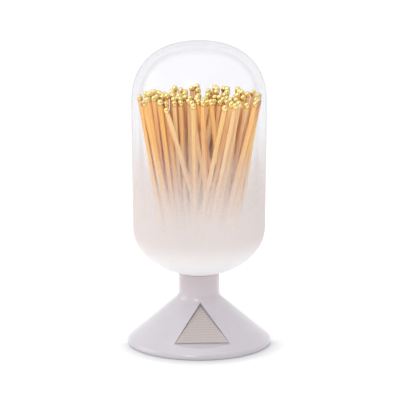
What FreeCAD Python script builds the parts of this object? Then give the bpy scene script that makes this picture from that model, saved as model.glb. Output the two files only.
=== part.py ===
import FreeCAD, Part
import math
import os
import random

# Match striker: a blown glass cloche full of long wooden matches, stood on a cast conical
# base. A three-cornered striking patch lies in a recess in the front of the base.
# Millimetres, +Z up, front towards -Y, origin on the table under the axis of the base.

# Cast base
base_height = 40.6          # table to the shoulder under the cloche
base_diameter = 81.2
base_wall = 5.0
cone_angle = 49.1           # between the side of the cone and the axis, degrees
foot_round = 0.5            # edge that stands on the table
rim_round = 3.4             # widest edge, up to the cone
stem_diameter = 23.0
stem_fillet = 5.0           # between cone and stem
shoulder_round = 0.6        # upper edge of the stem
plug_clearance = 0.25       # round the plug in the mouth of the cloche
plug_proud = 0.3            # plug above the glass beside it
plug_bevel = 0.4

# Recess and striking patch in the front of the cone
recess_width = 30.5         # lower edge of the flat floor
recess_height = 25.5        # up the slope, from the lower edge to the point
recess_rise = 8.8           # up the slope, from the rim to the lower edge
recess_lip = 0.3            # least depth of the floor, at its lower corners
ledge_slope = 12.0          # fall of the ledge under the patch, degrees
recess_draft = 6.0          # lean of the upright sides of the recess, degrees
patch_thickness = 0.8
patch_gap = 0.25            # round the patch in the recess

# Glass cloche
cloche_diameter = 75.8      # where the dome begins
cloche_waist = 74.2         # where the bowl ends
cloche_wall = 1.8
bowl_height = 27.3          # the bowl is half an ellipsoid
barrel_height = 69.7        # between bowl and dome
dome_height = 35.2
dome_squareness = 2.34      # exponent of the dome's outline, 2 is an ellipse
dome_spans = 9              # pieces of the dome's outline
mouth_diameter = 18.0       # opening ground through the bottom of the bowl
mouth_bevel = 0.3

# Matches
match_length = 97.6
length_spread = 0.4
stick_width = 2.2           # square
head_length = 4.4
head_coat = 0.25            # head over the corners of the stick
head_grip = 2.6             # stick inside the head
head_sides = 8
head_space = 2.3            # mean space between heads
stick_gap = 0.12            # least space between two matches
glass_gap = 0.25            # least space between a head and the glass
seat_gap = 0.15             # under the lowest corner of a match
tail_circle = 36.0          # that the tails stand in
ring_count = 6              # groups of matches, from the middle outwards

# How the matches lie: most stand up, the front rows lean in and cross low down
tail_share = 0.48           # tail over head, as distance across from the axis
depth_share = 0.4           # the same from front to back
front_line = 21.0           # front of the bundle at its sides, before the axis
hollow_depth = 10.0         # matches gone from the middle of the front
hollow_width = 9.0
lean_depth = 22.0           # of the rows that lean, from the front
front_foot = 14.5           # where the leaning tails stand, before the axis
foot_shift = 2.0            # of the leaning tails, to the right
front_cross = 7.0           # leaning tails past the middle
front_layers = 3.0          # leaning tails of the right behind those of the left
tail_scatter = 1.5
scatter_share = 0.22        # of the pitch of the heads
settling_steps = 240
bundle_seed = 8


def vector(radius, height):
    """Point of an outline that is turned about the Z axis."""
    return FreeCAD.Vector(radius, 0, height)


def arc(centre, radius, start, end):
    """Arc of an outline between two angles in degrees, from +X towards +Z."""
    angles = [math.radians(start + (end - start) * share) for share in (0, 0.5, 1)]
    points = [centre + vector(radius * math.cos(a), radius * math.sin(a)) for a in angles]
    return Part.Arc(*points).toShape()


def line(start, end):
    return Part.LineSegment(start, end).toShape()


def spline(points, first_tangent, last_tangent):
    curve = Part.BSplineCurve()
    curve.interpolate(Points=points, InitialTangent=first_tangent, FinalTangent=last_tangent)
    return curve.toShape()


def turned(edges):
    """Solid of revolution of a closed outline."""
    face = Part.Face(Part.Wire(edges))
    solid = face.revolve(FreeCAD.Vector(), FreeCAD.Vector(0, 0, 1), 360)
    return solid if solid.Volume > 0 else solid.reversed()


# Worked-out places on the base
side = math.radians(cone_angle)
base_radius = base_diameter / 2
stem_radius = stem_diameter / 2
rim_centre = vector(base_radius - rim_round, foot_round)
side_normal = vector(math.cos(side), math.sin(side))
side_uphill = vector(-math.sin(side), math.cos(side))
cone_foot = rim_centre + side_normal * rim_round
cone_run = (cone_foot.x - stem_radius - stem_fillet * (1 - math.cos(side))) / math.sin(side)
cone_top = cone_foot + side_uphill * cone_run
fillet_centre = cone_top + side_normal * stem_fillet
seat_radius = stem_radius - shoulder_round
mouth_radius = mouth_diameter / 2
plug_radius = mouth_radius - plug_clearance

# Worked-out places on the cloche
dome_radius = cloche_diameter / 2
waist_radius = cloche_waist / 2
waist_level = base_height + bowl_height * math.sqrt(1 - (seat_radius / waist_radius) ** 2)
dome_level = waist_level + barrel_height


def bowl_floor(radius):
    """Height of the glass inside the bowl."""
    share = min(1.0, radius / (waist_radius - cloche_wall))
    return waist_level - (bowl_height - cloche_wall) * math.sqrt(1 - share ** 2)


plug_top = bowl_floor(mouth_radius) + plug_proud


def bowl_arc(inset, first_radius):
    """Elliptical side of the bowl, from near the mouth up to the waist, as a stretched circle."""
    width = waist_radius - inset
    depth = bowl_height - inset
    start = math.degrees(math.acos(first_radius / width))
    stretch = FreeCAD.Matrix()
    stretch.scale(FreeCAD.Vector(width, 1, depth))
    stretch.move(vector(0, waist_level))
    return arc(vector(0, 0), 1, -start, 0).transformGeometry(stretch)


def dome_arc(inset):
    """Superelliptical side of the dome, from the barrel up to the axis."""
    width = dome_radius - inset
    depth = dome_height - inset
    power = 2 / dome_squareness
    points = [vector(width, dome_level)]
    for i in range(1, dome_spans):
        angle = math.pi / 2 * i / dome_spans
        radius = width * math.cos(angle) ** power
        points.append(vector(radius, dome_level + depth * math.sin(angle) ** power))
    points.append(vector(0, dome_level + depth))
    return spline(points, vector(0, 1), vector(-1, 0))


def glass_cloche():
    """One blown capsule with a ground mouth underneath, which stands on the shoulder."""
    floor_edge = vector(mouth_radius, bowl_floor(mouth_radius))
    bevel_top = vector(mouth_radius, base_height + mouth_bevel)
    bevel_foot = vector(mouth_radius + mouth_bevel, base_height)
    seat_edge = vector(seat_radius, base_height)
    outer_top = vector(0, dome_level + dome_height)
    inner_top = vector(0, dome_level + dome_height - cloche_wall)
    outer_waist = vector(waist_radius, waist_level)
    inner_waist = vector(waist_radius - cloche_wall, waist_level)
    outer_barrel = line(outer_waist, vector(dome_radius, dome_level))
    inner_barrel = line(inner_waist, vector(dome_radius - cloche_wall, dome_level))
    return turned([
        line(bevel_foot, seat_edge),
        bowl_arc(0, seat_radius),
        outer_barrel,
        dome_arc(0),
        line(outer_top, inner_top),
        dome_arc(cloche_wall),
        inner_barrel,
        bowl_arc(cloche_wall, mouth_radius),
        line(floor_edge, bevel_top),
        line(bevel_top, bevel_foot),
    ])


def base_body():
    """Hollow cone, stem and plug, cast in one piece and open underneath."""
    foot_centre = vector(base_radius - foot_round, foot_round)
    foot_edge = vector(base_radius - foot_round, 0)
    shoulder_centre = vector(seat_radius, base_height - shoulder_round)
    inner_radius = stem_radius - base_wall
    inner_turn = fillet_centre - side_normal * (stem_fillet + base_wall)
    inner_foot = vector(inner_turn.x + inner_turn.z * math.tan(side), 0)
    ceiling = base_height - base_wall
    stem_foot = vector(stem_radius, fillet_centre.z)
    return turned([
        line(inner_foot, foot_edge),
        arc(foot_centre, foot_round, -90, 0),
        arc(rim_centre, rim_round, 0, cone_angle),
        line(cone_foot, cone_top),
        arc(fillet_centre, stem_fillet, 180 + cone_angle, 180),
        line(stem_foot, vector(stem_radius, base_height - shoulder_round)),
        arc(shoulder_centre, shoulder_round, 0, 90),
        line(vector(seat_radius, base_height), vector(plug_radius, base_height)),
        line(vector(plug_radius, base_height), vector(plug_radius, plug_top - plug_bevel)),
        line(vector(plug_radius, plug_top - plug_bevel), vector(plug_radius - plug_bevel, plug_top)),
        line(vector(plug_radius - plug_bevel, plug_top), vector(0, plug_top)),
        line(vector(0, plug_top), vector(0, ceiling)),
        line(vector(0, ceiling), vector(inner_radius, ceiling)),
        line(vector(inner_radius, ceiling), vector(inner_radius, fillet_centre.z)),
        arc(fillet_centre, stem_fillet + base_wall, 180, 180 + cone_angle),
        line(inner_turn, inner_foot),
    ])


# The flat floor of the recess is parallel to the front line of the cone. Across that line
# the side curves with the radius of the cone there over the cosine of the cone's angle.
front_radius = cone_foot.x - recess_rise * math.sin(side)
side_curve = front_radius / math.cos(side)
recess_depth = recess_lip + side_curve - math.sqrt(side_curve ** 2 - (recess_width / 2) ** 2)


def on_recess(across, uphill, out):
    """Point given from the middle of the lower edge of the recess floor."""
    outline = cone_foot + side_uphill * (recess_rise + uphill) + side_normal * (out - recess_depth)
    return FreeCAD.Vector(across, -outline.x, outline.z)


def triangle(width, height, foot, out):
    """Three-cornered wire parallel to the recess floor, with its point uphill."""
    corners = [
        on_recess(-width / 2, foot, out),
        on_recess(width / 2, foot, out),
        on_recess(0, foot + height, out),
    ]
    return Part.makePolygon(corners + corners[:1])


def recess():
    """Cutter whose two upper sides open outwards and whose lower side falls away as a ledge."""
    reach = recess_depth + base_wall
    drop = reach * math.tan(math.radians(cone_angle + ledge_slope))
    slant = math.hypot(recess_width / 2, recess_height)
    opening = reach * math.tan(math.radians(recess_draft)) * slant
    height = recess_height + opening / (recess_width / 2)
    width = recess_width + 2 * opening / recess_height
    floor = triangle(recess_width, recess_height, 0, 0)
    mouth = triangle(width * (height + drop) / height, height + drop, -drop, reach)
    return Part.makeLoft([floor, mouth], True, True)


def base():
    return base_body().cut(recess())


def floor_normal():
    return on_recess(0, 0, 1) - on_recess(0, 0, 0)


def striker_patch():
    """Thin abrasive sheet on the floor of the recess, clear of its sides."""
    slant = math.hypot(recess_width / 2, recess_height)
    inner_circle = recess_width * recess_height / (recess_width + 2 * slant)
    share = 1 - patch_gap / inner_circle
    outline = triangle(recess_width * share, recess_height * share, patch_gap, 0)
    return Part.Face(outline).extrude(floor_normal() * patch_thickness)


# The matches are straight lines between two levels. Heads and tails are kept as complex
# numbers, X + iY, where each line crosses the upper and the lower level.
stick_diagonal = stick_width * math.sqrt(2)
head_radius = stick_diagonal / 2 + head_coat
tail_reach = tail_circle / 2
lower_level = plug_top
upper_level = bowl_floor(tail_reach) + match_length + length_spread
level_gap = upper_level - lower_level

# Two matches can meet anywhere along their sticks, and with their heads in the upper part
meeting_zones = [(2 * head_radius, 2 * head_length / level_gap), (stick_diagonal, 1.0)]


def inner_radius(height):
    """Inside radius of the cloche at a height in the barrel or the dome."""
    barrel = waist_radius + (dome_radius - waist_radius) * (height - waist_level) / barrel_height
    if height <= dome_level:
        return barrel - cloche_wall
    share = (height - dome_level) / (dome_height - cloche_wall)
    power = 1 / dome_squareness
    return (dome_radius - cloche_wall) * max(0.0, 1 - share ** dome_squareness) ** power


head_reach = inner_radius(plug_top + match_length) - head_radius - glass_gap


def within(place, reach):
    """The place itself, or the nearest one inside a circle round the axis."""
    return place if abs(place) <= reach else place * reach / abs(place)


def clear_of_glass(head, tail):
    """Upper end of a line whose match keeps its head clear of the glass."""
    lean = abs(head - tail) / level_gap
    top = bowl_floor(abs(tail)) + (match_length + length_spread) / math.hypot(1, lean)
    place = head + (tail - head) * (upper_level - top) / level_gap
    reach = inner_radius(top) - head_radius - glass_gap
    return head + within(place, reach) - place


def bundle_front(across):
    """Front of the bundle at head height, hollow where matches are gone."""
    return hollow_depth * math.exp(-(across / hollow_width) ** 2) - front_line


def scattered_heads(dice):
    """Heads on a loose triangular pattern, inside the glass and behind the front."""
    pitch = 2 * head_radius + head_space
    rows = int(head_reach / pitch) + 2
    heads = []
    for row in range(-rows, rows + 1):
        for column in range(-rows, rows + 1):
            place = complex(column + 0.5 * (row % 2), row * math.sqrt(3) / 2) * pitch
            scatter = complex(dice.uniform(-1, 1), dice.uniform(-1, 1))
            place += scatter * scatter_share * pitch
            ahead = place.imag < bundle_front(place.real) - stick_width / 4
            if abs(place) < head_reach + stick_width / 4 and not ahead:
                heads.append(within(place, head_reach))
    return heads


def first_tail(head, dice):
    """Where a match would stand: near its head, or past the middle in the front rows."""
    standing = complex(head.real * tail_share, head.imag * depth_share)
    side_share = max(-1.0, min(1.0, head.real / hollow_width))
    leaning = complex(foot_shift - front_cross * side_share, front_layers * side_share - front_foot)
    front = max(bundle_front(head.real), -math.sqrt(max(0.0, head_reach ** 2 - head.real ** 2)))
    share = min(1.0, max(0.0, 1.5 - 1.5 * (head.imag - front) / lean_depth))
    scatter = complex(dice.gauss(0, tail_scatter), dice.gauss(0, tail_scatter))
    return standing * (1 - share) + leaning * share + scatter


def closest(heads, tails, one, other, width, lowest):
    """Level share, offset and needed distance where two matches come closest."""
    top = heads[one] - heads[other]
    change = tails[one] - tails[other] - top
    size = abs(change) ** 2
    share = 0.0
    if size > 0:
        share = min(lowest, max(0.0, -(top * change.conjugate()).real / size))
    offset = top + change * share
    lean = (heads[one] + heads[other] - tails[one] - tails[other]) / 2 / level_gap
    slope = (lean * offset.conjugate()).real / max(abs(offset), stick_gap)
    return share, offset, (width + stick_gap) * math.hypot(1, slope)


def settled_bundle():
    """Heads and tails of the matches, pushed apart until none touches another."""
    dice = random.Random(bundle_seed)
    heads = scattered_heads(dice)
    tails = [within(first_tail(head, dice), tail_reach) for head in heads]
    count = len(heads)
    for step in range(settling_steps):
        if step % 6 == 0:
            near = []
            for one in range(count):
                for other in range(one + 1, count):
                    share, offset, need = closest(heads, tails, one, other, stick_diagonal, 1.0)
                    if abs(offset) < 2 * need:
                        near.append((one, other))
        touching = 0
        for one, other in near:
            for width, lowest in meeting_zones:
                share, offset, need = closest(heads, tails, one, other, width, lowest)
                if abs(offset) < need:
                    touching += 1
                    push = offset / max(abs(offset), stick_gap) * (need - abs(offset)) / 2
                    push /= (1 - share) ** 2 + share ** 2
                    heads[one] += push * (1 - share)
                    heads[other] -= push * (1 - share)
                    tails[one] += push * share
                    tails[other] -= push * share
        for index in range(count):
            heads[index] = clear_of_glass(heads[index], tails[index])
            tails[index] = within(tails[index], tail_reach)
        if touching == 0:
            break
    return without_touching(heads, tails)


def without_touching(heads, tails):
    """The matches that keep clear of all those before them, from the axis outwards."""
    order = sorted(range(len(heads)), key=lambda index: abs(heads[index]))
    kept = []
    for index in order:
        clear = True
        for other in kept:
            for width, lowest in meeting_zones:
                share, offset, need = closest(heads, tails, index, other, width, lowest)
                if abs(offset) < need - stick_gap / 2:
                    clear = False
        if clear:
            kept.append(index)
    return [(heads[index], tails[index]) for index in kept]


def support(place):
    """Height of what is under a point: the plug or the glass of the bowl."""
    radius = math.hypot(place.x, place.y)
    return plug_top if radius < mouth_radius else bowl_floor(radius)


def seated(head, tail, spin):
    """Placement of a match on its line, with its lowest corner just above the floor."""
    foot = FreeCAD.Vector(tail.real, tail.imag, lower_level)
    lean = FreeCAD.Vector(head.real - tail.real, head.imag - tail.imag, level_gap).normalize()
    upright = FreeCAD.Rotation(FreeCAD.Vector(0, 0, 1), lean)
    turn = upright.multiply(FreeCAD.Rotation(FreeCAD.Vector(0, 0, 1), spin))
    half = stick_width / 2
    corners = [(-half, -half), (half, -half), (half, half), (-half, half), (0, 0)]
    for settling in range(5):
        heights = []
        for across, along in corners:
            corner = foot + turn.multVec(FreeCAD.Vector(across, along, 0))
            heights.append(corner.z - support(corner))
        foot = foot + lean * ((seat_gap - min(heights)) / lean.z)
    return FreeCAD.Placement(foot, turn)


def ring(radius, height):
    """Corners of a head at one height, with the stick's corners under four of them."""
    angles = [2 * math.pi * side_index / head_sides for side_index in range(head_sides)]
    return [FreeCAD.Vector(radius * math.cos(a), radius * math.sin(a), height) for a in angles]


def match_head():
    """Dipped bulb with flat facets and a square pocket that the stick's end fills."""
    outline = [(0.93, 0.0), (1.0, 0.4), (0.8, 0.8), (0.36, 1.0)]
    rings = [ring(head_radius * wide, head_length * high) for wide, high in outline]
    faces = [Part.Face(Part.makePolygon(rings[0] + rings[0][:1]))]
    faces.append(Part.Face(Part.makePolygon(rings[-1] + rings[-1][:1])))
    for lower, upper in zip(rings, rings[1:]):
        for index in range(head_sides):
            following = (index + 1) % head_sides
            corners = [lower[index], lower[following], upper[following], upper[index]]
            faces.append(Part.Face(Part.makePolygon(corners + corners[:1])))
    bulb = Part.makeSolid(Part.makeShell(faces))
    pocket = stick_block(head_grip)
    pocket.rotate(FreeCAD.Vector(), FreeCAD.Vector(0, 0, 1), 45)
    return bulb.cut(pocket)


def stick_block(length):
    half = stick_width / 2
    return Part.makeBox(stick_width, stick_width, length, FreeCAD.Vector(-half, -half, 0))


def matches():
    """Sticks and heads, in rings from the middle of the bundle outwards."""
    dice = random.Random(bundle_seed + 1)
    bulb = match_head()
    bulb.rotate(FreeCAD.Vector(), FreeCAD.Vector(0, 0, 1), 45)
    bundle = settled_bundle()
    sticks = [[] for index in range(ring_count)]
    heads = [[] for index in range(ring_count)]
    for index, (head, tail) in enumerate(bundle):
        place = seated(head, tail, dice.uniform(0, 90))
        stick_length = match_length - head_length + head_grip
        stick_length += dice.uniform(-length_spread, length_spread)
        stick = stick_block(stick_length)
        stick.Placement = place
        cap = bulb.copy()
        cap.translate(FreeCAD.Vector(0, 0, stick_length - head_grip))
        cap.Placement = place.multiply(cap.Placement)
        group = index * ring_count // len(bundle)
        sticks[group].append(stick)
        heads[group].append(cap)
    return sticks, heads


def save(name, solids):
    shape = solids[0] if len(solids) == 1 else Part.makeCompound(solids)
    shape.exportStep("parts/" + name + ".step")
    print(name, len(solids), "solids, volume", round(shape.Volume, 1))


os.makedirs("parts", exist_ok=True)
save("base", [base()])
save("glass_cloche", [glass_cloche()])
save("striker_patch", [striker_patch()])
stick_rings, head_rings = matches()
for number in range(ring_count):
    save("match_sticks_ring_" + str(number + 1), stick_rings[number])
    save("match_heads_ring_" + str(number + 1), head_rings[number])
print("matches", sum(len(group) for group in stick_rings))
print("total height", dome_level + dome_height, "recess depth", round(recess_depth, 2))
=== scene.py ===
"""Looks of the match striker: a part-frosted glass cloche full of gold-headed matches on a glazed base."""

import math
import random

import bmesh
import bpy
from bpy.props import FloatProperty, IntProperty, PointerProperty, StringProperty
from mathutils import Matrix, Vector


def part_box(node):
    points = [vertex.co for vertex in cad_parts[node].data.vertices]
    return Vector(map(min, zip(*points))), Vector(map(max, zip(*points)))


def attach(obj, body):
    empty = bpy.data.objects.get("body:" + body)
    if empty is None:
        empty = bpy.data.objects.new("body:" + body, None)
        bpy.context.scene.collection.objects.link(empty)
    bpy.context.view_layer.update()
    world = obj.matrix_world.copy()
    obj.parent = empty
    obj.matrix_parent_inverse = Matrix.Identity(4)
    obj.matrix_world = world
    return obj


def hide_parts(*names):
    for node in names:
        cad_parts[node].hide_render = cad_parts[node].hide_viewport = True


bl_info = {
    "name": "Match Striker",
    "version": (1, 0, 0),
    "blender": (4, 5, 0),
    "location": "View3D > Sidebar > Match Striker",
    "description": "Models and finishes the glazed base, the glass cloche, the matches and the stage",
    "category": "Add Mesh",
}

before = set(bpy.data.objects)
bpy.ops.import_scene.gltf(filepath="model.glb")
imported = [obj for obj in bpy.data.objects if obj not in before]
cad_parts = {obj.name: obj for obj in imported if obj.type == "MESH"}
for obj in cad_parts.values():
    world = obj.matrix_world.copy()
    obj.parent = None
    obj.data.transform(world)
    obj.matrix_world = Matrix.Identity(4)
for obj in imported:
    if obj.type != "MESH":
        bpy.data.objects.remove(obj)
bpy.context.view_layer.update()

MM = 0.001
BASE_LOW, BASE_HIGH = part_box("base")
CLOCHE_LOW, CLOCHE_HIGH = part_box("glass_cloche")
RINGS = range(1, 7)
MATCH_SEED = 7
# Points closer than this are one point, in a spun seam, in the frame's meshes and after a cut
SEAM_WELD = 0.001 * MM
MESH_WELD = 0.002 * MM
CUT_WELD = 0.02 * MM
# Place and width of each softbox, in metres
LAMPS = {
    "top": ((-0.15, -0.2, 1.35), 1.7),
    "key": ((-1.2, 0.25, 0.62), 0.9),
    "fill": ((1.1, -0.7, 0.5), 1.0),
    "spark": ((-0.35, -0.95, 1.0), 0.26),
}
# Way from the object to the bright wall of the room
BRIGHT_SIDE = (-0.55, 0.84, 0.0)
# Millimetres of the sensor, and metres that the camera sees
SENSOR_WIDTH = 36.0
CAMERA_REACH = 20.0
SMOOTH = {"interpolation_type": "SMOOTHSTEP"}


def number(name, description, value, unit="NONE"):
    """Property for a number, which may have a unit."""
    return FloatProperty(name=name, description=description, default=value, unit=unit, precision=5)


def length(name, description, millimetres):
    """Property for a length, given in millimetres and kept in metres."""
    return number(name, description, millimetres * MM, "LENGTH")


def angle(name, description, degrees):
    """Property for an angle, given in degrees."""
    return FloatProperty(name=name, description=description, default=math.radians(degrees), subtype="ANGLE")


def share(name, description, value):
    """Property for a share from 0 to 1."""
    return FloatProperty(name=name, description=description, default=value, min=0, max=1, subtype="FACTOR")


def srgb(name, description, value):
    """Property for a colour, written as an sRGB hex value."""
    return StringProperty(name=name, description=description, default=value)


class BaseSizes(bpy.types.PropertyGroup):
    """Sizes and colours of the glazed base."""

    diameter: number("Diameter", "Widest part of the rim", BASE_HIGH.x - BASE_LOW.x, "LENGTH")
    shoulder_height: number("Shoulder height", "Table to the seat of the cloche", CLOCHE_LOW.z, "LENGTH")
    plug_height: number("Plug height", "Table to the top of the plug", BASE_HIGH.z, "LENGTH")
    wall: length("Wall", "Thickness of the cast cone", 5.0)
    cone_angle: angle("Cone angle", "Between the side of the cone and the axis", 49.1)
    foot_round: length("Foot round", "Edge that stands on the table", 0.5)
    rim_round: length("Rim round", "Widest edge", 3.4)
    stem_diameter: length("Stem diameter", "Between cone and cloche", 23.0)
    stem_fillet: length("Stem fillet", "Between cone and stem", 5.0)
    shoulder_round: length("Shoulder round", "Upper edge of the stem", 0.6)
    plug_diameter: length("Plug diameter", "Plug in the mouth of the cloche", 17.5)
    plug_bevel: length("Plug bevel", "Edge of the plug", 0.4)
    recess_width: length("Recess width", "Lower edge of the recess floor", 30.5)
    recess_height: length("Recess height", "Recess floor, up the slope", 25.5)
    recess_rise: length("Recess rise", "From the rim to the recess floor, up the slope", 8.8)
    recess_lip: length("Recess lip", "Least depth of the recess floor", 0.3)
    ledge_slope: angle("Ledge slope", "Fall of the ledge under the patch", 12.0)
    recess_draft: angle("Recess draft", "Lean of the upright sides of the recess", 6.0)
    recess_round: length("Recess round", "Edge of the opening, softened by the glaze", 0.45)
    segments: IntProperty(name="Segments", description="Steps round the axis", default=160, min=24)
    glaze: srgb("Glaze", "Colour of the pale lilac glaze", "#C2BDC4")
    glaze_thin: srgb("Thin glaze", "Where the glaze has run thin", "#C0B9C0")
    # Painted warm light on the stem, with the heights where it fades in
    stem_painted_warm_light: srgb("Stem glaze", "Where it ran off the stem and the warm body shows", "#C8BDC1")
    stem_warm_light_end: length("Stem glaze end", "From the shoulder down to the full glaze", 26.0)
    stem_warm_light_fade: length("Stem glaze fade", "From the shoulder down to where the glaze thickens", 5.0)


class ClocheSizes(bpy.types.PropertyGroup):
    """Sizes and colours of the blown cloche."""

    diameter: number("Diameter", "Where the dome begins", CLOCHE_HIGH.x - CLOCHE_LOW.x, "LENGTH")
    foot: number("Foot", "Height of the seat", CLOCHE_LOW.z, "LENGTH")
    top: number("Top", "Height of the dome", CLOCHE_HIGH.z, "LENGTH")
    waist: length("Waist", "Diameter where the bowl ends", 74.2)
    wall: length("Wall", "Thickness of the glass", 1.8)
    bowl_height: length("Bowl height", "Half an ellipsoid", 27.3)
    dome_height: length("Dome height", "From the barrel to the top", 35.2)
    dome_squareness: number("Dome squareness", "2 is an ellipse", 2.34)
    mouth_diameter: length("Mouth", "Opening ground through the bowl", 18.0)
    seat_diameter: length("Seat", "Ground ring that stands on the shoulder", 21.8)
    lip_round: length("Lip round", "Fire-polished edges of the mouth", 0.3)
    segments: IntProperty(name="Segments", description="Steps round the axis", default=160, min=24)
    frost_top: length("Frost top", "Height where the frosting begins", 121.0)
    frost_full: length("Frost full", "Height where the frosting hides the matches", 73.0)
    frost: srgb("Frost", "Warm white frosting", "#F1EFF1")
    # Painted light: the frosting turns whiter towards the foot, standing in for the white table's light,
    # between the two heights below, where it also grows thicker
    frost_foot_painted_light: srgb("Frost at the foot", "Thicker frosting in the bowl", "#FFFEFF")
    foot_frost_and_light_top: length("Foot frost top", "Height where the frosting grows thicker", 66.0)
    foot_frost_and_light_full: length("Foot frost full", "Height where the frosting is thickest", 44.0)
    frost_glow: share("Frost glow", "Light that passes through the frosting", 0.4)
    foot_glow: share("Foot glow", "Light that passes through the thickest frosting", 0.02)
    tint: srgb("Tint", "What the clear glass lets through", "#FBFBFC")
    edge_tint: srgb("Edge tint", "What the glass lets through edge on", "#C2C2C4")
    edge_line: share("Edge line", "Depth of the line at the outside of the glass", 0.9)
    wall_line: share("Wall line", "Depth of the line inside the edge", 0.13)
    face_gloss: share("Face gloss", "Light that the glass mirrors face on", 0.015)
    edge_gloss: share("Edge gloss", "Light that the glass mirrors edge on", 0.6)


class MatchSizes(bpy.types.PropertyGroup):
    """Sizes and colours of the matches."""

    edge_round: length("Edge round", "Sawn edges of a stick", 0.15)
    head_length: length("Head length", "Dipped end", 4.4)
    head_grip: length("Head grip", "Stick inside the head", 2.6)
    head_radius: length("Head radius", "Widest part of a head", 1.72)
    head_spread: share("Head spread", "Difference from head to head", 0.07)
    wood: srgb("Wood", "Palest sticks", "#FFE2B0")
    wood_golden: srgb("Golden wood", "Most golden sticks", "#FFC76C")
    wood_grain: srgb("Grain", "Darker streaks in the wood", "#ECA440")
    # Painted shade where the sticks lie close together
    wood_painted_shade: srgb("Deep wood", "Where the sticks lie close together", "#DC7A04")
    gold: srgb("Gold", "Metallic head", "#FFE292")
    # Painted shade on the lower edge of each head
    gold_painted_shade: srgb("Gold shade", "Lower edge of the dip", "#BC7808")
    gold_edge: srgb("Gold edge", "What the gold mirrors at a low angle", "#5A3E08")


class StrikerSizes(bpy.types.PropertyGroup):
    """Sizes and colours of the striking patch."""

    rib_pitch: length("Rib pitch", "Height from one rib to the next", 1.1)
    grit: length("Grit", "Size of the abrasive grains", 0.35)
    ground: srgb("Ground", "Patch between the ribs", "#B2A8A6")
    rib: srgb("Rib", "Raised ribs", "#C0B6B3")


class StageSizes(bpy.types.PropertyGroup):
    """Camera, floor and lights."""

    camera_distance: length("Camera distance", "From the axis to the camera", 1250.0)
    camera_turn: angle("Camera turn", "Round the axis from the front", -3.0)
    camera_rise: angle("Camera rise", "Above the horizon", 12.03)
    sight_height: length("Sight height", "Height that the distance is taken from", 86.0)
    aim_height: length("Aim height", "Height in the middle of the picture", 81.8)
    aim_across: length("Aim across", "Middle of the picture, to the right of the axis", 0.5)
    view_width: length("View width", "Width of the picture at the aim", 224.4)
    floor_size: length("Floor size", "Side of the floor", 6000.0)
    ambient: number("Ambient", "Light from all sides", 0.94)
    top_power: number("Top power", "Softbox overhead", 2.4, "POWER")
    key_power: number("Key power", "Softbox at the left", 2.4, "POWER")
    fill_power: number("Fill power", "Softbox at the right", 0.5, "POWER")
    spark_power: number("Spark power", "Small lamp in front", 2.2, "POWER")
    floor: srgb("Floor", "Matt white", "#F5F5F6")
    floor_lift: number("Floor lift", "White added near the object", 0.14)
    far_lift: number("Far lift", "White added where the lamps don't reach", 0.22)
    lift_near: length("Lift near", "From the object to where more white is added", 300.0)
    lift_far: length("Lift far", "From the object to where most white is added", 1500.0)
    shadow_reach: length("Shadow reach", "Width of the shadow round the foot", 14.0)
    shadow_lean: angle("Shadow lean", "How far the light comes from behind", 40.0)
    shadow_depth: share("Shadow depth", "Brightness left in the darkest shadow", 0.55)
    shadow_power: number("Shadow power", "How slowly the shadow fades", 4.0)
    shadow_front: length("Shadow front", "From the axis forwards to the full shadow", 32.0)
    side_white: share("Side white", "Brightness kept beside the object", 0.95)
    front_shade: share("Front shade", "How white the dim side of the room looks in gloss", 0.45)


def linear(hex_colour):
    """Linear RGBA of an sRGB hex colour."""
    values = [int(hex_colour[i : i + 2], 16) / 255 for i in (1, 3, 5)]
    return (*[v / 12.92 if v <= 0.04045 else ((v + 0.055) / 1.055) ** 2.4 for v in values], 1.0)


def add_node(tree, kind, values=None, links=None, **settings):
    """Adds a node with its settings, its sockets' values and its links."""
    node = tree.nodes.new(kind)
    for name, value in settings.items():
        setattr(node, name, value)
    for socket, value in (values or {}).items():
        node.inputs[socket].default_value = value
    for socket, source in (links or {}).items():
        tree.links.new(source, node.inputs[socket])
    return node


def new_material(name):
    """Empty material and its node tree."""
    material = bpy.data.materials.new(name)
    material.use_nodes = True
    material.node_tree.nodes.clear()
    return material, material.node_tree


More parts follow.
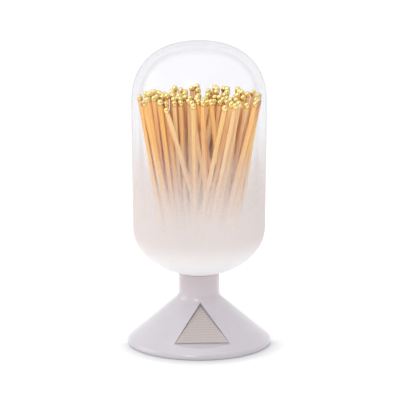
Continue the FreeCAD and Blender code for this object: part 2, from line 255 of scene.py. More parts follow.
def glazed_porcelain():
    """Porcelain under a pale lilac glaze: even colour, soft gloss, and a slow waviness where it ran."""
    sizes = bpy.context.scene.striker_base
    material, tree = new_material("glazed_porcelain")
    place = add_node(tree, "ShaderNodeTexCoord").outputs["Object"]
    run_size = 26 * MM
    runs = add_node(tree, "ShaderNodeTexNoise", {"Scale": 1 / run_size, "Detail": 3.0}, {"Vector": place})
    limits = {"From Min": 0.35, "From Max": 0.75}
    thin = add_node(tree, "ShaderNodeMapRange", limits, {"Value": runs.outputs["Fac"]}, **SMOOTH)
    colours = {6: linear(sizes.glaze), 7: linear(sizes.glaze_thin)}
    colour = add_node(tree, "ShaderNodeMix", colours, {0: thin.outputs["Result"]}, data_type="RGBA")
    # Painted warm light: the stem turns warmer towards the shoulder, standing in for the glow from the
    # matches and the cloche above
    height = add_node(tree, "ShaderNodeSeparateXYZ", links={"Vector": place}).outputs["Z"]
    shoulder = sizes.shoulder_height
    limits = {"From Min": shoulder - sizes.stem_warm_light_end, "From Max": shoulder - sizes.stem_warm_light_fade}
    painted_warm_light = add_node(tree, "ShaderNodeMapRange", limits, {"Value": height}, **SMOOTH)
    mixed = {0: painted_warm_light.outputs["Result"], 6: colour.outputs[2]}
    colour = add_node(tree, "ShaderNodeMix", {7: linear(sizes.stem_painted_warm_light)}, mixed, data_type="RGBA")
    peel_size = 3 * MM
    peel = add_node(tree, "ShaderNodeTexNoise", {"Scale": 1 / peel_size, "Detail": 2.0}, {"Vector": place})
    relief = {"Strength": 0.25, "Distance": 0.04 * MM}
    bump = add_node(tree, "ShaderNodeBump", relief, {"Height": peel.outputs["Fac"]})
    limits = {"From Min": 0.3, "From Max": 0.7, "To Min": 0.29, "To Max": 0.34}
    gloss = add_node(tree, "ShaderNodeMapRange", limits, {"Value": runs.outputs["Fac"]})
    finish = {"IOR": 1.5, "Coat Weight": 1.0, "Coat Roughness": 0.2}
    sources = {"Base Color": colour.outputs[2], "Normal": bump.outputs["Normal"]}
    sources["Roughness"] = gloss.outputs["Result"]
    surface = add_node(tree, "ShaderNodeBsdfPrincipled", finish, sources)
    add_node(tree, "ShaderNodeOutputMaterial", links={"Surface": surface.outputs[0]})
    return material


def edge_on(tree):
    """0 on glass seen face on and 1 edge on, with most of the rise close to the edge."""
    power = 5.0
    facing = add_node(tree, "ShaderNodeLayerWeight", {"Blend": 0.5}).outputs["Facing"]
    return add_node(tree, "ShaderNodeMath", {1: power}, {0: facing}, operation="POWER").outputs[0]


def clear_shader(tree, sizes, edge):
    """Thin clear glass: passes a tint, darker by a share from 0 to 1, and mirrors by its angle."""
    steep = edge_on(tree)
    colours = {6: linear(sizes.tint), 7: linear(sizes.edge_tint)}
    through = add_node(tree, "ShaderNodeMix", colours, {0: edge}, data_type="RGBA")
    window = add_node(tree, "ShaderNodeBsdfTransparent", links={"Color": through.outputs[2]})
    mirror = add_node(tree, "ShaderNodeBsdfGlossy", {"Roughness": 0.2, "Color": (1, 1, 1, 1)})
    limits = {"To Min": sizes.face_gloss, "To Max": sizes.edge_gloss}
    bounced = add_node(tree, "ShaderNodeMapRange", limits, {"Value": steep})
    shares = {0: bounced.outputs["Result"], 1: window.outputs[0], 2: mirror.outputs[0]}
    glass = add_node(tree, "ShaderNodeMixShader", links=shares)
    # Blown glass this thin takes next to no light from what stands behind it
    path = add_node(tree, "ShaderNodeLightPath")
    rays = {0: path.outputs["Is Shadow Ray"], 1: path.outputs["Is Diffuse Ray"]}
    light = add_node(tree, "ShaderNodeMath", links=rays, operation="MAXIMUM")
    bare = add_node(tree, "ShaderNodeBsdfTransparent", {"Color": (1, 1, 1, 1)})
    shares = {0: light.outputs[0], 1: glass.outputs[0], 2: bare.outputs[0]}
    return add_node(tree, "ShaderNodeMixShader", links=shares).outputs[0]


def frosted_glass():
    """Blown glass sprayed from below: a fine warm white coat that thins out to clear glass."""
    sizes = bpy.context.scene.striker_cloche
    material, tree = new_material("glass_frosted_to_the_waist")
    place = add_node(tree, "ShaderNodeTexCoord").outputs["Object"]
    height = add_node(tree, "ShaderNodeSeparateXYZ", links={"Vector": place}).outputs["Z"]
    cloud_size = 14 * MM
    clouds = add_node(tree, "ShaderNodeTexNoise", {"Scale": 1 / cloud_size, "Detail": 3.0}, {"Vector": place})
    droplet_size = 0.15 * MM
    fine = {"Scale": 1 / droplet_size, "Detail": 1.0}
    droplets = add_node(tree, "ShaderNodeTexNoise", fine, {"Vector": place})
    limits = {"From Min": 0.3, "From Max": 0.7, "To Min": -1.5 * MM, "To Max": 1.5 * MM}
    drift = add_node(tree, "ShaderNodeMapRange", limits, {"Value": clouds.outputs["Fac"]})
    level = add_node(tree, "ShaderNodeMath", links={0: height, 1: drift.outputs["Result"]}, operation="ADD")
    # Every droplet hides what is behind it, and further down there are more of them
    limits = {"From Min": sizes.frost_full, "From Max": sizes.frost_top, "To Min": 0.33, "To Max": 0.67}
    bare = add_node(tree, "ShaderNodeMapRange", limits, {"Value": level.outputs[0]}, clamp=False)
    past = {0: droplets.outputs["Fac"], 1: bare.outputs["Result"]}
    past = add_node(tree, "ShaderNodeMath", links=past, operation="SUBTRACT")
    limits = {"From Min": -0.12, "From Max": 0.12}
    cover = add_node(tree, "ShaderNodeMapRange", limits, {"Value": past.outputs[0]}, **SMOOTH)
    # Towards the foot the frosting grows thicker and lets less light through, and its whiter colour is
    # painted light from the white table below
    limits = {"From Min": sizes.foot_frost_and_light_top, "From Max": sizes.foot_frost_and_light_full}
    foot = add_node(tree, "ShaderNodeMapRange", limits, {"Value": height}, **SMOOTH).outputs["Result"]
    colours = {6: linear(sizes.frost), 7: linear(sizes.frost_foot_painted_light)}
    colour = add_node(tree, "ShaderNodeMix", colours, {0: foot}, data_type="RGBA").outputs[2]
    relief = {"Strength": 0.15, "Distance": 0.03 * MM}
    bump = add_node(tree, "ShaderNodeBump", relief, {"Height": droplets.outputs["Fac"]})
    sources = {"Base Color": colour, "Normal": bump.outputs["Normal"]}
    coat = add_node(tree, "ShaderNodeBsdfPrincipled", {"Roughness": 0.42, "IOR": 1.5}, sources)
    glow = add_node(tree, "ShaderNodeBsdfTranslucent", links={"Color": colour})
    limits = {"To Min": sizes.frost_glow, "To Max": sizes.foot_glow}
    passing = add_node(tree, "ShaderNodeMapRange", limits, {"Value": foot})
    shares = {0: passing.outputs["Result"], 1: coat.outputs[0], 2: glow.outputs[0]}
    spray = add_node(tree, "ShaderNodeMixShader", links=shares)
    # Seen edge on, the outside of the glass is a fine grey line
    edge = add_node(tree, "ShaderNodeMath", {1: sizes.edge_line}, {0: edge_on(tree)}, operation="MULTIPLY")
    clear = clear_shader(tree, sizes, edge.outputs[0])
    shares = {0: cover.outputs["Result"], 1: clear, 2: spray.outputs[0]}
    surface = add_node(tree, "ShaderNodeMixShader", links=shares)
    add_node(tree, "ShaderNodeOutputMaterial", links={"Surface": surface.outputs[0]})
    return material


def clear_glass():
    """Inside of the blown glass, bare and clear: the thick wall shows as a soft grey line inside its edge."""
    sizes = bpy.context.scene.striker_cloche
    material, tree = new_material("clear_glass")
    facing = add_node(tree, "ShaderNodeLayerWeight", {"Blend": 0.5}).outputs["Facing"]
    limits = {"From Min": 0.45, "From Max": 0.57, "To Max": sizes.wall_line}
    begins = add_node(tree, "ShaderNodeMapRange", limits, {"Value": facing}, **SMOOTH)
    limits = {"From Min": 0.58, "From Max": 0.72, "To Max": sizes.wall_line}
    ends = add_node(tree, "ShaderNodeMapRange", limits, {"Value": facing}, **SMOOTH)
    line = {0: begins.outputs["Result"], 1: ends.outputs["Result"]}
    line = add_node(tree, "ShaderNodeMath", links=line, operation="SUBTRACT")
    surface = clear_shader(tree, sizes, line.outputs[0])
    add_node(tree, "ShaderNodeOutputMaterial", links={"Surface": surface})
    return material


def matchwood():
    """Sawn aspen: pale, straight-grained and matt, each stick a little lighter or darker."""
    sizes = bpy.context.scene.striker_matches
    material, tree = new_material("sawn_aspen")
    along = add_node(tree, "ShaderNodeUVMap", uv_map="grain").outputs["UV"]
    # The grain's map is in millimetres, and real growth rings are finer than the picture shows
    streak_width = 0.6
    streak_length = 22
    streak = {"Scale": (1 / streak_width, 1 / streak_length, 1.0)}
    stretched = add_node(tree, "ShaderNodeMapping", streak, {"Vector": along}).outputs["Vector"]
    grain = add_node(tree, "ShaderNodeTexNoise", {"Scale": 1.0, "Detail": 4.0}, {"Vector": stretched})
    tint = {"attribute_name": "tint", "attribute_type": "GEOMETRY"}
    tint = add_node(tree, "ShaderNodeAttribute", **tint).outputs["Fac"]
    colours = {6: linear(sizes.wood), 7: linear(sizes.wood_golden)}
    stick = add_node(tree, "ShaderNodeMix", colours, {0: tint}, data_type="RGBA")
    limits = {"From Min": 0.42, "From Max": 0.68, "To Max": 0.7}
    dark = add_node(tree, "ShaderNodeMapRange", limits, {"Value": grain.outputs["Fac"]})
    mixed = {0: dark.outputs["Result"], 6: stick.outputs[2]}
    streaked = add_node(tree, "ShaderNodeMix", {7: linear(sizes.wood_grain)}, mixed, data_type="RGBA")
    # Painted shade: where the sticks lie close together, the colour turns darker and more orange, standing in
    # for the shade and the warm light between them
    nearby = {"Distance": 5 * MM}
    open_sky = add_node(tree, "ShaderNodeAmbientOcclusion", nearby, samples=8).outputs["AO"]
    limits = {"From Min": 0.65, "From Max": 0.1, "To Max": 0.85}
    close = add_node(tree, "ShaderNodeMapRange", limits, {"Value": open_sky})
    mixed = {0: close.outputs["Result"], 6: streaked.outputs[2]}
    deep = add_node(tree, "ShaderNodeMix", {7: linear(sizes.wood_painted_shade)}, mixed, data_type="RGBA")
    # The same tint, read again at another pace, makes neighbours lighter or darker
    pace = add_node(tree, "ShaderNodeMath", {1: 7.0}, {0: tint}, operation="MULTIPLY")
    even = add_node(tree, "ShaderNodeMath", links={0: pace.outputs[0]}, operation="FRACT")
    light = add_node(tree, "ShaderNodeMapRange", {"To Min": 0.92, "To Max": 1.03}, {"Value": even.outputs[0]})
    toned = {"Color": deep.outputs[2], "Value": light.outputs["Result"]}
    toned = add_node(tree, "ShaderNodeHueSaturation", links=toned)
    relief = {"Strength": 0.4, "Distance": 0.05 * MM}
    bump = add_node(tree, "ShaderNodeBump", relief, {"Height": grain.outputs["Fac"]})
    finish = {"Roughness": 0.62, "IOR": 1.45, "Specular IOR Level": 0.25}
    sources = {"Base Color": toned.outputs["Color"], "Normal": bump.outputs["Normal"]}
    surface = add_node(tree, "ShaderNodeBsdfPrincipled", finish, sources)
    add_node(tree, "ShaderNodeOutputMaterial", links={"Surface": surface.outputs[0]})
    return material


def gold_dip():
    """Match composition dipped in metallic gold, with painted shade: darker towards the lower edge of each
    head and where heads meet.
    """
    sizes = bpy.context.scene.striker_matches
    material, tree = new_material("gold_dipped_composition")
    place = add_node(tree, "ShaderNodeTexCoord").outputs["Object"]
    lump_size = 1.1 * MM
    lumps = add_node(tree, "ShaderNodeTexNoise", {"Scale": 1 / lump_size, "Detail": 3.0}, {"Vector": place})
    rise = {"attribute_name": "rise", "attribute_type": "GEOMETRY"}
    rise = add_node(tree, "ShaderNodeAttribute", **rise).outputs["Fac"]
    limits = {"From Min": 0.35, "From Max": 0.65, "To Min": -0.12, "To Max": 0.12}
    spots = add_node(tree, "ShaderNodeMapRange", limits, {"Value": lumps.outputs["Fac"]})
    uneven = {0: rise, 1: spots.outputs["Result"]}
    uneven = add_node(tree, "ShaderNodeMath", links=uneven, operation="ADD")
    # Painted shade where heads meet: the colour grows darker and richer where little sky reaches them
    nearby = {"Distance": 2.5 * MM}
    open_sky = add_node(tree, "ShaderNodeAmbientOcclusion", nearby, samples=8).outputs["AO"]
    limits = {"From Min": 0.85, "From Max": 0.35, "To Max": 0.7}
    painted_contact_shade = add_node(tree, "ShaderNodeMapRange", limits, {"Value": open_sky})
    level = {0: uneven.outputs[0], 1: painted_contact_shade.outputs["Result"]}
    level = add_node(tree, "ShaderNodeMath", links=level, operation="SUBTRACT")
    # Painted shade: the gold is darker towards the lower edge of each head and where heads meet, broken up by
    # random lumps
    limits = {"From Min": -0.1, "From Max": 0.46}
    thick = add_node(tree, "ShaderNodeMapRange", limits, {"Value": level.outputs[0]}, **SMOOTH)
    colours = {6: linear(sizes.gold_painted_shade), 7: linear(sizes.gold)}
    colour = add_node(tree, "ShaderNodeMix", colours, {0: thick.outputs["Result"]}, data_type="RGBA")
    tint = {"attribute_name": "tint", "attribute_type": "GEOMETRY"}
    tint = add_node(tree, "ShaderNodeAttribute", **tint).outputs["Fac"]
    light = add_node(tree, "ShaderNodeMapRange", {"To Min": 1.02, "To Max": 1.16}, {"Value": tint})
    toned = {"Color": colour.outputs[2], "Value": light.outputs["Result"]}
    toned = add_node(tree, "ShaderNodeHueSaturation", links=toned)
    relief = {"Strength": 0.25, "Distance": 0.12 * MM}
    bump = add_node(tree, "ShaderNodeBump", relief, {"Height": lumps.outputs["Fac"]})
    limits = {"From Min": 0.3, "From Max": 0.7, "To Min": 0.13, "To Max": 0.2}
    gloss = add_node(tree, "ShaderNodeMapRange", limits, {"Value": lumps.outputs["Fac"]})
    finish = {"Metallic": 0.9, "Coat Weight": 0.7, "Coat Roughness": 0.08}
    finish["Specular Tint"] = linear(sizes.gold_edge)
    sources = {"Base Color": toned.outputs["Color"], "Normal": bump.outputs["Normal"]}
    sources["Roughness"] = gloss.outputs["Result"]
    surface = add_node(tree, "ShaderNodeBsdfPrincipled", finish, sources)
    add_node(tree, "ShaderNodeOutputMaterial", links={"Surface": surface.outputs[0]})
    return material


def abrasive_sheet():
    """Striking sheet: matt warm grey, with grit bound in fine level ribs."""
    sizes = bpy.context.scene.striker_patch
    material, tree = new_material("abrasive_sheet")
    place = add_node(tree, "ShaderNodeTexCoord").outputs["Object"]
    # This texture's waves are pi / 10 apart at a scale of 1
    waves = {"Scale": math.pi / (10 * sizes.rib_pitch), "Distortion": 0.6, "Detail Scale": 2.0}
    level = {"wave_type": "BANDS", "bands_direction": "Z"}
    ribs = add_node(tree, "ShaderNodeTexWave", waves, {"Vector": place}, **level)
    grit = add_node(tree, "ShaderNodeTexNoise", {"Scale": 1 / sizes.grit, "Detail": 2.0}, {"Vector": place})
    limits = {"From Min": 0.3, "From Max": 0.7, "To Min": -0.5, "To Max": 0.5}
    speckle = add_node(tree, "ShaderNodeMapRange", limits, {"Value": grit.outputs["Fac"]})
    height = {0: ribs.outputs["Fac"], 1: speckle.outputs["Result"]}
    height = add_node(tree, "ShaderNodeMath", links=height, operation="ADD").outputs[0]
    raised = add_node(tree, "ShaderNodeMapRange", {"From Max": 1.2}, {"Value": height})
    colours = {6: linear(sizes.ground), 7: linear(sizes.rib)}
    colour = add_node(tree, "ShaderNodeMix", colours, {0: raised.outputs["Result"]}, data_type="RGBA")
    bump = add_node(tree, "ShaderNodeBump", {"Strength": 0.3, "Distance": 0.06 * MM}, {"Height": height})
    sources = {"Base Color": colour.outputs[2], "Normal": bump.outputs["Normal"]}
    surface = add_node(tree, "ShaderNodeBsdfPrincipled", {"Roughness": 0.7, "IOR": 1.5}, sources)
    add_node(tree, "ShaderNodeOutputMaterial", links={"Surface": surface.outputs[0]})
    return material


def seen_by_eye(tree):
    """1 for rays that come from the camera, straight or by way of gloss and glass."""
    path = add_node(tree, "ShaderNodeLightPath")
    seen = path.outputs["Is Camera Ray"]
    for ray in ("Is Glossy Ray", "Is Transmission Ray"):
        rays = {0: seen, 1: path.outputs[ray]}
        seen = add_node(tree, "ShaderNodeMath", links=rays, operation="MAXIMUM").outputs[0]
    return seen


def white_floor():
    """Matt white floor that the camera sees as white, with the object's shadow on it."""
    sizes = bpy.context.scene.striker_stage
    material, tree = new_material("white_floor")
    # The shadow of the foot falls forwards, away from the bright wall behind
    lean = {"Y": math.sin(sizes.shadow_lean), "Z": math.cos(sizes.shadow_lean)}
    wall = add_node(tree, "ShaderNodeCombineXYZ", lean)
    reach = {"Distance": sizes.shadow_reach}
    towards = {"Normal": wall.outputs["Vector"]}
    open_sky = add_node(tree, "ShaderNodeAmbientOcclusion", reach, towards, samples=16)
    power = {1: sizes.shadow_power}
    steep = add_node(tree, "ShaderNodeMath", power, {0: open_sky.outputs["AO"]}, operation="POWER")
    shadow = add_node(tree, "ShaderNodeMapRange", {"To Min": sizes.shadow_depth}, {"Value": steep.outputs[0]})
    place = add_node(tree, "ShaderNodeTexCoord").outputs["Object"]
    depth = add_node(tree, "ShaderNodeSeparateXYZ", links={"Vector": place})
    limits = {"From Min": -sizes.shadow_front, "From Max": 0.0, "To Max": sizes.side_white}
    side = add_node(tree, "ShaderNodeMapRange", limits, {"Value": depth.outputs["Y"]})
    bright = {0: shadow.outputs["Result"], 1: side.outputs["Result"]}
    bright = add_node(tree, "ShaderNodeMath", links=bright, operation="MAXIMUM")
    colours = {6: linear("#000000"), 7: linear(sizes.floor)}
    colour = add_node(tree, "ShaderNodeMix", colours, {0: bright.outputs[0]}, data_type="RGBA").outputs[2]
    paint = add_node(tree, "ShaderNodeBsdfDiffuse", links={"Color": colour})
    away = add_node(tree, "ShaderNodeVectorMath", links={0: place}, operation="LENGTH")
    limits = {"From Min": sizes.lift_near, "From Max": sizes.lift_far}
    limits |= {"To Min": sizes.floor_lift, "To Max": sizes.far_lift}
    white = add_node(tree, "ShaderNodeMapRange", limits, {"Value": away.outputs["Value"]}, **SMOOTH)
    lift = {0: seen_by_eye(tree), 1: white.outputs["Result"]}
    lift = add_node(tree, "ShaderNodeMath", links=lift, operation="MULTIPLY")
    glow = add_node(tree, "ShaderNodeEmission", links={"Color": colour, "Strength": lift.outputs[0]})
    both = add_node(tree, "ShaderNodeAddShader", links={0: paint.outputs[0], 1: glow.outputs[0]})
    add_node(tree, "ShaderNodeOutputMaterial", links={"Surface": both.outputs[0]})
    return material


def piece_from(name, bm, materials):
    """Object at the origin from a bmesh, with its materials."""
    mesh = bpy.data.meshes.new(name)
    bm.to_mesh(mesh)
    bm.free()
    piece = bpy.data.objects.new(name, mesh)
    bpy.context.scene.collection.objects.link(piece)
    for material in materials:
        mesh.materials.append(material)
    return piece


def smooth_shaded(piece, sharp_angle):
    """Smooth shading that keeps the edges sharper than an angle."""
    piece.data.shade_smooth()
    piece.data.set_sharp_from_angle(angle=math.radians(sharp_angle))


def outline_vertices(bm, corners):
    """Open chain of vertices in the XZ plane, from (radius, height, round) corners."""
    step_degrees = 6
    chain = [bm.verts.new((radius, 0, height)) for radius, height, _ in corners]
    for first, second in zip(chain, chain[1:]):
        bm.edges.new((first, second))
    rounds = [(vertex, corner[2]) for vertex, corner in zip(chain, corners) if corner[2] > 0]
    for vertex, radius in rounds:
        first, second = [(edge.other_vert(vertex).co - vertex.co) for edge in vertex.link_edges]
        opening = first.angle(second)
        bmesh.ops.bevel(
            bm,
            geom=[vertex],
            offset=radius / math.tan(opening / 2),
            offset_type="OFFSET",
            segments=max(3, round(math.degrees(math.pi - opening) / step_degrees)),
            profile=0.5,
            affect="VERTICES",
            material=-1,
        )


def spun(bm, segments):
    """Spins the outline once round the Z axis and closes its seam and poles."""
    bmesh.ops.spin(
        bm,
        geom=bm.verts[:] + bm.edges[:],
        cent=(0, 0, 0),
        axis=(0, 0, 1),
        angle=2 * math.pi,
        steps=segments,
        use_merge=True,
    )
    bmesh.ops.remove_doubles(bm, verts=bm.verts, dist=SEAM_WELD)
    bmesh.ops.dissolve_degenerate(bm, edges=bm.edges, dist=SEAM_WELD)
    bmesh.ops.recalc_face_normals(bm, faces=bm.faces)


class BaseShape:
    """Worked-out places on the base, in the plane of its outline."""

    def __init__(self, sizes):
        side = sizes.cone_angle
        self.sizes = sizes
        self.normal = Vector((math.cos(side), math.sin(side)))
        self.uphill = Vector((-math.sin(side), math.cos(side)))
        rim_centre = Vector((sizes.diameter / 2 - sizes.rim_round, sizes.foot_round))
        self.cone_foot = rim_centre + self.normal * sizes.rim_round
        front_radius = self.cone_foot.x - sizes.recess_rise * math.sin(side)
        curve = front_radius / math.cos(side)
        self.depth = sizes.recess_lip + curve - math.sqrt(curve**2 - (sizes.recess_width / 2) ** 2)

    def on_cone(self, radius, inset=0.0):
        """Height of the side of the cone, or of its inner wall, at a radius."""
        start = self.cone_foot - self.normal * inset
        return start.y + (start.x - radius) / math.tan(self.sizes.cone_angle)

    def on_recess(self, across, up, out):
        """Point in the recess, from the middle of the lower edge of its floor."""
        along = self.uphill * (self.sizes.recess_rise + up)
        place = self.cone_foot + along + self.normal * (out - self.depth)
        return Vector((across, -place.x, place.y))


def base_corners(sizes, shape):
    """Corners of the outline of the base, as radius, height and rounding."""
    radius = sizes.diameter / 2
    stem = sizes.stem_diameter / 2
    plug = sizes.plug_diameter / 2
    inner_stem = stem - sizes.wall
    inner_foot = shape.cone_foot - shape.normal * sizes.wall
    inner_foot_radius = inner_foot.x + inner_foot.y * math.tan(sizes.cone_angle)
    rim_corner = shape.on_cone(radius)
    return [
        (0, sizes.shoulder_height - sizes.wall, 0),
        (inner_stem, sizes.shoulder_height - sizes.wall, 0),
        (inner_stem, shape.on_cone(inner_stem, sizes.wall), sizes.stem_fillet + sizes.wall),
        (inner_foot_radius, 0, 0),
        (radius, 0, sizes.foot_round),
        (radius, rim_corner, sizes.rim_round),
        (stem, shape.on_cone(stem), sizes.stem_fillet),
        (stem, sizes.shoulder_height, sizes.shoulder_round),
        (plug, sizes.shoulder_height, 0),
        (plug, sizes.plug_height, sizes.plug_bevel),
        (0, sizes.plug_height, 0),
    ]


def recess_cutter(sizes, shape):
    """Three-cornered plug whose sides open outwards and whose lower side falls away."""
    reach = shape.depth + sizes.wall
    drop = reach * math.tan(sizes.cone_angle + sizes.ledge_slope)
    slant = math.hypot(sizes.recess_width / 2, sizes.recess_height)
    opening = reach * math.tan(sizes.recess_draft) * slant
    height = sizes.recess_height + opening / (sizes.recess_width / 2)
    width = sizes.recess_width + 2 * opening / sizes.recess_height
    mouth_width = width * (height + drop) / height
    bm = bmesh.new()
    floor = [
        shape.on_recess(-sizes.recess_width / 2, 0, 0),
        shape.on_recess(sizes.recess_width / 2, 0, 0),
        shape.on_recess(0, sizes.recess_height, 0),
    ]
    mouth = [
        shape.on_recess(-mouth_width / 2, -drop, reach),
        shape.on_recess(mouth_width / 2, -drop, reach),
        shape.on_recess(0, height, reach),
    ]
    face = bm.faces.new([bm.verts.new(corner) for corner in floor])
    grown = bmesh.ops.extrude_face_region(bm, geom=[face])
    lifted = [item for item in grown["geom"] if isinstance(item, bmesh.types.BMVert)]
    for vertex in lifted:
        nearest = min(range(3), key=lambda index: (floor[index] - vertex.co).length)
        vertex.co = mouth[nearest]
    bmesh.ops.recalc_face_normals(bm, faces=bm.faces)
    return piece_from("recess_cutter", bm, [])


def with_modifiers(piece):
    """Gives a piece the mesh that its modifiers make, and takes the modifiers off."""
    graph = bpy.context.evaluated_depsgraph_get()
    mesh = bpy.data.meshes.new_from_object(piece.evaluated_get(graph))
    piece.modifiers.clear()
    piece.data = mesh


def rounded_opening(bm, shape, sizes):
    """Rounds the edges where the recess meets the outside of the cone."""
    origin = shape.on_recess(0, 0, 0)
    out = shape.on_recess(0, 0, 1) - origin
    sharp = math.radians(28)
    floor_level = 0.05 * MM
    edges = []
    for edge in bm.edges:
        if len(edge.link_faces) != 2:
            continue
        above = min((vertex.co - origin).dot(out) for vertex in edge.verts)
        front = all(vertex.co.y < 0 and vertex.co.z > sizes.foot_round for vertex in edge.verts)
        if front and edge.calc_face_angle() > sharp and above > floor_level:
            edges.append(edge)
    bmesh.ops.bevel(
        bm,
        geom=edges,
        offset=sizes.recess_round,
        offset_type="OFFSET",
        segments=3,
        profile=0.5,
        affect="EDGES",
        clamp_overlap=True,
        loop_slide=False,
        material=-1,
    )


class STRIKER_OT_base(bpy.types.Operator):
    """Model the glazed base with its recess"""

    bl_idname = "striker.base"
    bl_label = "Glazed base"

    def execute(self, context):
        sizes = context.scene.striker_base
        shape = BaseShape(sizes)
        bm = bmesh.new()
        outline_vertices(bm, base_corners(sizes, shape))
        spun(bm, sizes.segments)
        base = piece_from("glazed_base", bm, [])
        cutter = recess_cutter(sizes, shape)
        cut = base.modifiers.new("recess", "BOOLEAN")
        cut.object = cutter
        cut.solver = "EXACT"
        with_modifiers(base)
        bpy.data.objects.remove(cutter)
        bm = bmesh.new()
        bm.from_mesh(base.data)
        bmesh.ops.remove_doubles(bm, verts=bm.verts, dist=CUT_WELD)
        bmesh.ops.dissolve_degenerate(bm, edges=bm.edges, dist=CUT_WELD)
        rounded_opening(bm, shape, sizes)
        bm.to_mesh(base.data)
        bm.free()
        base.data.materials.append(glazed_porcelain())
        smooth_shaded(base, 35)
        base.modifiers.new("even_shading", "WEIGHTED_NORMAL").keep_sharp = True
        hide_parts("base")
        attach(base, "root")
        return {"FINISHED"}


def bowl_outline(sizes, inset, first_radius, steps):
    """Elliptical side of the bowl, from the mouth up to the waist."""
    width = sizes.waist / 2 - inset
    depth = sizes.bowl_height - inset
    level = waist_level(sizes)
    start = math.asin(first_radius / width)
    angles = [start + (math.pi / 2 - start) * step / steps for step in range(steps + 1)]
    return [(width * math.sin(a), level - depth * math.cos(a)) for a in angles]


def dome_outline(sizes, inset, steps):
    """Superelliptical side of the dome, from the barrel up to the axis."""
    width = sizes.diameter / 2 - inset
    depth = sizes.dome_height - inset
    power = 2 / sizes.dome_squareness
    level = sizes.top - sizes.dome_height
    angles = [math.pi / 2 * step / steps for step in range(steps)]
    points = [(width * math.cos(a) ** power, level + depth * math.sin(a) ** power) for a in angles]
    return points + [(0, level + depth)]


def waist_level(sizes):
    """Height where the bowl ends, with the seat at its own place on the ellipse."""
    rise = math.sqrt(1 - (sizes.seat_diameter / sizes.waist) ** 2)
    return sizes.foot + sizes.bowl_height * rise


class STRIKER_OT_cloche(bpy.types.Operator):
    """Model the blown cloche, frosted outside and clear inside"""

    bl_idname = "striker.cloche"
    bl_label = "Glass cloche"

    def execute(self, context):
        sizes = context.scene.striker_cloche
        steps = sizes.segments // 4
        outer = bowl_outline(sizes, 0, sizes.seat_diameter / 2, steps) + dome_outline(sizes, 0, steps)
        inner = bowl_outline(sizes, sizes.wall, sizes.mouth_diameter / 2, steps)
        inner += dome_outline(sizes, sizes.wall, steps)
        corners = [(radius, height, 0) for radius, height in reversed(inner)]
        corners.append((sizes.mouth_diameter / 2, sizes.foot, sizes.lip_round))
        corners += [(radius, height, 0) for radius, height in outer]
        bm = bmesh.new()
        outline_vertices(bm, corners)
        spun(bm, sizes.segments)
        barrel = (waist_level(sizes), sizes.top - sizes.dome_height)
        for face in bm.faces:
            middle = face.calc_center_median()
            axis_level = min(max(middle.z, barrel[0]), barrel[1])
            outward = middle - Vector((0, 0, axis_level))
            face.material_index = 0 if outward.dot(face.normal) > 0 else 1
        cloche = piece_from("frosted_cloche", bm, [frosted_glass(), clear_glass()])
        smooth_shaded(cloche, 50)
        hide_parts("glass_cloche")
        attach(cloche, "root")
        return {"FINISHED"}


def separate_solids(node):
    """Corner points of each separate solid of a node."""
    bm = bmesh.new()
    bm.from_mesh(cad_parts[node].data)
    bmesh.ops.remove_doubles(bm, verts=bm.verts, dist=MESH_WELD)
    left = set(bm.verts)
    solids = []
    while left:
        ahead = [left.pop()]
        corners = []
        while ahead:
            vertex = ahead.pop()
            corners.append(vertex.co.copy())
            for edge in vertex.link_edges:
                other = edge.other_vert(vertex)
                if other in left:
                    left.remove(other)
                    ahead.append(other)
        solids.append(corners)
    bm.free()

    def middle(corners):
        return tuple(round(c, 5) for c in sum(corners, Vector()) / len(corners))

    return sorted(solids, key=middle)


def stick_place(corners):
    """Matrix of a stick, from its foot up its axis, with its width and length."""
    lowest = min(corners, key=lambda corner: corner.z)
    others = sorted((corner for corner in corners if corner != lowest), key=lambda c: (c - lowest).length)
    across = (others[0] - lowest).normalized()
    upward = (others[3] - lowest).normalized()
    width = (others[0] - lowest).length
    long = (others[3] - lowest).length
    middle = sum(corners, Vector()) / len(corners)
    foot = middle - upward * long / 2
    turned = Matrix((across, upward.cross(across), upward)).transposed().to_4x4()
    return Matrix.Translation(foot) @ turned, width, long


def add_stick(bm, place, width, long, edge_round, tint, grain_start):
    """Sawn stick with softened edges, its grain running along it."""
    uv_layer = bm.loops.layers.uv["grain"]
    tint_layer = bm.faces.layers.float["tint"]
    scale = Matrix.Diagonal((width, width, long, 1))
    centred = Matrix.Translation((0, 0, long / 2)) @ scale
    made = bmesh.ops.create_cube(bm, size=1, matrix=centred)
    edges = list({edge for vertex in made["verts"] for edge in vertex.link_edges})
    rounded = bmesh.ops.bevel(
        bm,
        geom=edges,
        offset=edge_round,
        offset_type="OFFSET",
        segments=1,
        profile=0.5,
        affect="EDGES",
        material=-1,
    )
    verts = set(rounded["verts"]) | {vertex for vertex in made["verts"] if vertex.is_valid}
    faces = {face for vertex in verts for face in vertex.link_faces}
    for face in faces:
        face[tint_layer] = tint
        for loop in face.loops:
            spot = loop.vert.co
            turn = math.atan2(spot.y, spot.x) / (2 * math.pi)
            loop[uv_layer].uv = (grain_start + turn * 4 * width / MM, spot.z / MM)
    bmesh.ops.transform(bm, matrix=place, verts=list(verts))


